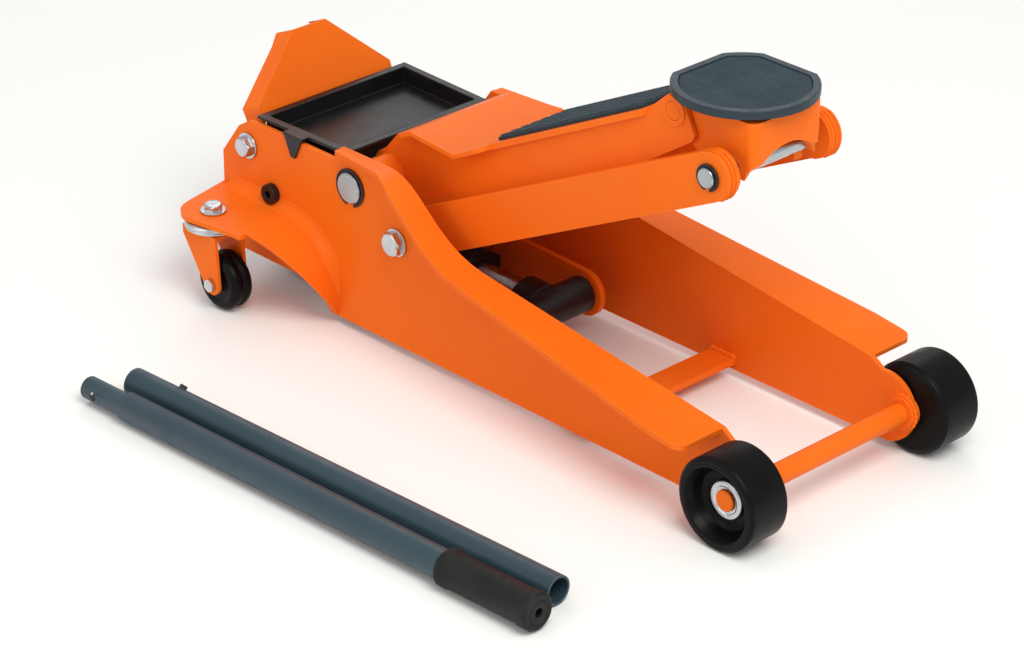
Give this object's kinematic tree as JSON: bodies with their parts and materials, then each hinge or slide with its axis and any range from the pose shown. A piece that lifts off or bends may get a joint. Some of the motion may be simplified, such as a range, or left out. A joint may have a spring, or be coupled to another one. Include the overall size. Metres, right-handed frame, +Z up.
{
  "type": "hydraulic trolley jack",
  "caption": "Low hydraulic trolley jack: folded side plates, a pumped lifting arm with a level saddle, steel rollers, rear casters, tool tray and a two-piece handle laid beside it.",
  "frame": {"origin": "middle of the footprint of the jack and its handle, on the ground", "axes": "+X along the jack towards its front rollers, +Y towards the side away from the handle, +Z up"},
  "size_m": [0.7184, 0.525, 0.334],
  "materials": {
    "orange_paint": "glossy orange enamel over sheet steel",
    "black_paint": "satin black enamel",
    "zinc": "bright zinc plate",
    "bright_steel": "ground steel",
    "spring_steel": "dark oiled spring steel",
    "wheel": "hard black roller, lightly sheened",
    "tray_plastic": "black moulded plastic",
    "grip": "soft black ribbed rubber",
    "slate_paint": "slate grey powder coat",
    "slate_rubber": "slate grey rubber"
  },
  "bodies": {
    "chassis": {"side_plate_left": "orange_paint", "side_plate_right": "orange_paint", "front_axle": "orange_paint", "axle_ring_left": "zinc", "axle_ring_right": "zinc", "cross_brace": "orange_paint", "arm_pivot_shaft": "bright_steel", "pivot_circlip_left": "spring_steel", "pivot_circlip_right": "spring_steel", "side_plug_left": "black_paint", "side_plug_right": "black_paint", "link_bolt_left": "zinc", "link_bolt_right": "zinc", "yoke_bolt_left": "zinc", "yoke_bolt_right": "zinc", "hydraulic_block": "black_paint", "ram_cylinder": "black_paint", "caster_bolt_left": "zinc", "caster_bolt_right": "zinc", "caster_disc_left": "zinc", "caster_disc_right": "zinc"},
    "roller_left": {"front_wheel_left": "wheel"},
    "roller_right": {"front_wheel_right": "wheel"},
    "arm": {"lift_arm": "orange_paint", "arm_top_pad": "slate_rubber", "head_pin": "orange_paint"},
    "link_left": {"link_left": "orange_paint"},
    "link_right": {"link_right": "orange_paint"},
    "head": {"lift_head": "orange_paint", "cross_pin": "bright_steel", "cross_pin_clip_left": "spring_steel", "cross_pin_clip_right": "spring_steel"},
    "saddle": {"saddle": "slate_paint", "saddle_pad": "slate_rubber"},
    "ram": {"ram_rod": "bright_steel", "crosshead": "black_paint", "drive_plate_left": "orange_paint", "drive_plate_right": "orange_paint"},
    "yoke": {"yoke": "orange_paint"},
    "handle_socket": {"handle_socket": "orange_paint"},
    "release_valve": {"release_valve": "zinc"},
    "pump_plunger": {"pump_plunger": "bright_steel", "pump_spring": "spring_steel"},
    "caster_fork_left": {"caster_fork_left": "orange_paint", "caster_axle_left": "zinc"},
    "caster_fork_right": {"caster_fork_right": "orange_paint", "caster_axle_right": "zinc"},
    "caster_wheel_left": {"caster_wheel_left": "wheel"},
    "caster_wheel_right": {"caster_wheel_right": "wheel"},
    "tool_tray": {"tool_tray": "tray_plastic"},
    "handle_upper": {"handle_upper_tube": "slate_paint", "handle_grip": "grip"},
    "handle_lower": {"handle_lower_tube": "slate_paint"},
    "handle_button": {"handle_button": "zinc"}
  },
  "joints": [
    {"name": "roller_spin_left", "type": "hinge", "parent": "chassis", "child": "roller_left", "pos_m": [0.31771, 0.20954, 0.0415], "axis": [0, 1, 0], "continuous": true},
    {"name": "roller_spin_right", "type": "hinge", "parent": "chassis", "child": "roller_right", "pos_m": [0.31771, -0.02446, 0.0415], "axis": [0, 1, 0], "continuous": true},
    {"name": "arm_lift", "type": "hinge", "parent": "chassis", "child": "arm", "pos_m": [-0.16929, 0.09254, 0.142], "axis": [0, -1, 0], "range_deg": [-30, 30]},
    {"name": "link_swing_left", "type": "hinge", "parent": "chassis", "child": "link_left", "pos_m": [-0.10979, 0.15254, 0.1095], "axis": [0, -1, 0], "range_deg": [-30.5, 30.5]},
    {"name": "link_swing_right", "type": "hinge", "parent": "chassis", "child": "link_right", "pos_m": [-0.10979, 0.03254, 0.1095], "axis": [0, -1, 0], "range_deg": [-30.5, 30.5]},
    {"name": "head_level", "type": "hinge", "parent": "arm", "child": "head", "pos_m": [0.17526, 0.09254, 0.31155], "axis": [0, -1, 0], "range_deg": [-30.5, 30.5]},
    {"name": "saddle_turn", "type": "hinge", "parent": "head", "child": "saddle", "pos_m": [0.20971, 0.09254, 0.33], "axis": [0, 0, 1], "continuous": true},
    {"name": "ram_stroke", "type": "slide", "parent": "chassis", "child": "ram", "axis": [1, 0, 0], "range_m": [-0.0562, 0.0562]},
    {"name": "yoke_tilt", "type": "hinge", "parent": "chassis", "child": "yoke", "pos_m": [-0.30929, 0.09254, 0.137], "axis": [0, -1, 0], "range_deg": [0, 40]},
    {"name": "handle_turn", "type": "hinge", "parent": "yoke", "child": "handle_socket", "pos_m": [-0.33496, 0.09254, 0.18071], "axis": [-0.3584, 0, 0.9336], "range_deg": [-90, 90]},
    {"name": "valve_turn", "type": "hinge", "parent": "chassis", "child": "release_valve", "pos_m": [-0.32229, 0.11654, 0.08], "axis": [1, 0, 0], "range_deg": [-91, 91]},
    {"name": "pump_stroke", "type": "slide", "parent": "chassis", "child": "pump_plunger", "axis": [0, 0, 1], "range_m": [-0.0136, 0.0001], "deforming": ["pump_spring"]},
    {"name": "caster_swivel_left", "type": "hinge", "parent": "chassis", "child": "caster_fork_left", "pos_m": [-0.30129, 0.23554, 0.07], "axis": [0, 0, 1], "continuous": true},
    {"name": "caster_swivel_right", "type": "hinge", "parent": "chassis", "child": "caster_fork_right", "pos_m": [-0.30129, -0.05046, 0.07], "axis": [0, 0, 1], "continuous": true},
    {"name": "caster_spin_left", "type": "hinge", "parent": "caster_fork_left", "child": "caster_wheel_left", "pos_m": [-0.28729, 0.23554, 0.027], "axis": [0, 1, 0], "continuous": true},
    {"name": "caster_spin_right", "type": "hinge", "parent": "caster_fork_right", "child": "caster_wheel_right", "pos_m": [-0.28729, -0.05046, 0.027], "axis": [0, 1, 0], "continuous": true},
    {"name": "tray_lift_off", "type": "slide", "parent": "chassis", "child": "tool_tray", "axis": [0, 0, 1], "range_m": [0, 0.12]},
    {"name": "handle_upper_lift", "type": "slide", "parent": "chassis", "child": "handle_upper", "axis": [0, 0, 1], "range_m": [0, 0.15]},
    {"name": "handle_lower_lift", "type": "slide", "parent": "chassis", "child": "handle_lower", "axis": [0, 0, 1], "range_m": [0, 0.15]},
    {"name": "button_press", "type": "slide", "parent": "handle_lower", "child": "handle_button", "axis": [0.0333, -0.7063, -0.7071], "range_m": [0, 0.0035], "stiffness_N_per_m": 600}
  ],
  "couplings": [
    {"joint": "link_swing_left", "follows": "arm_lift", "ratio": 1},
    {"joint": "link_swing_right", "follows": "arm_lift", "ratio": 1},
    {"joint": "head_level", "follows": "arm_lift", "ratio": -1},
    {"joint": "ram_stroke", "follows": "arm_lift", "m_per_rad": 0.1063},
    {"joint": "pump_stroke", "follows": "yoke_tilt", "m_per_rad": -0.0193},
    {"joint": "valve_turn", "follows": "handle_turn", "ratio": 1}
  ]
}
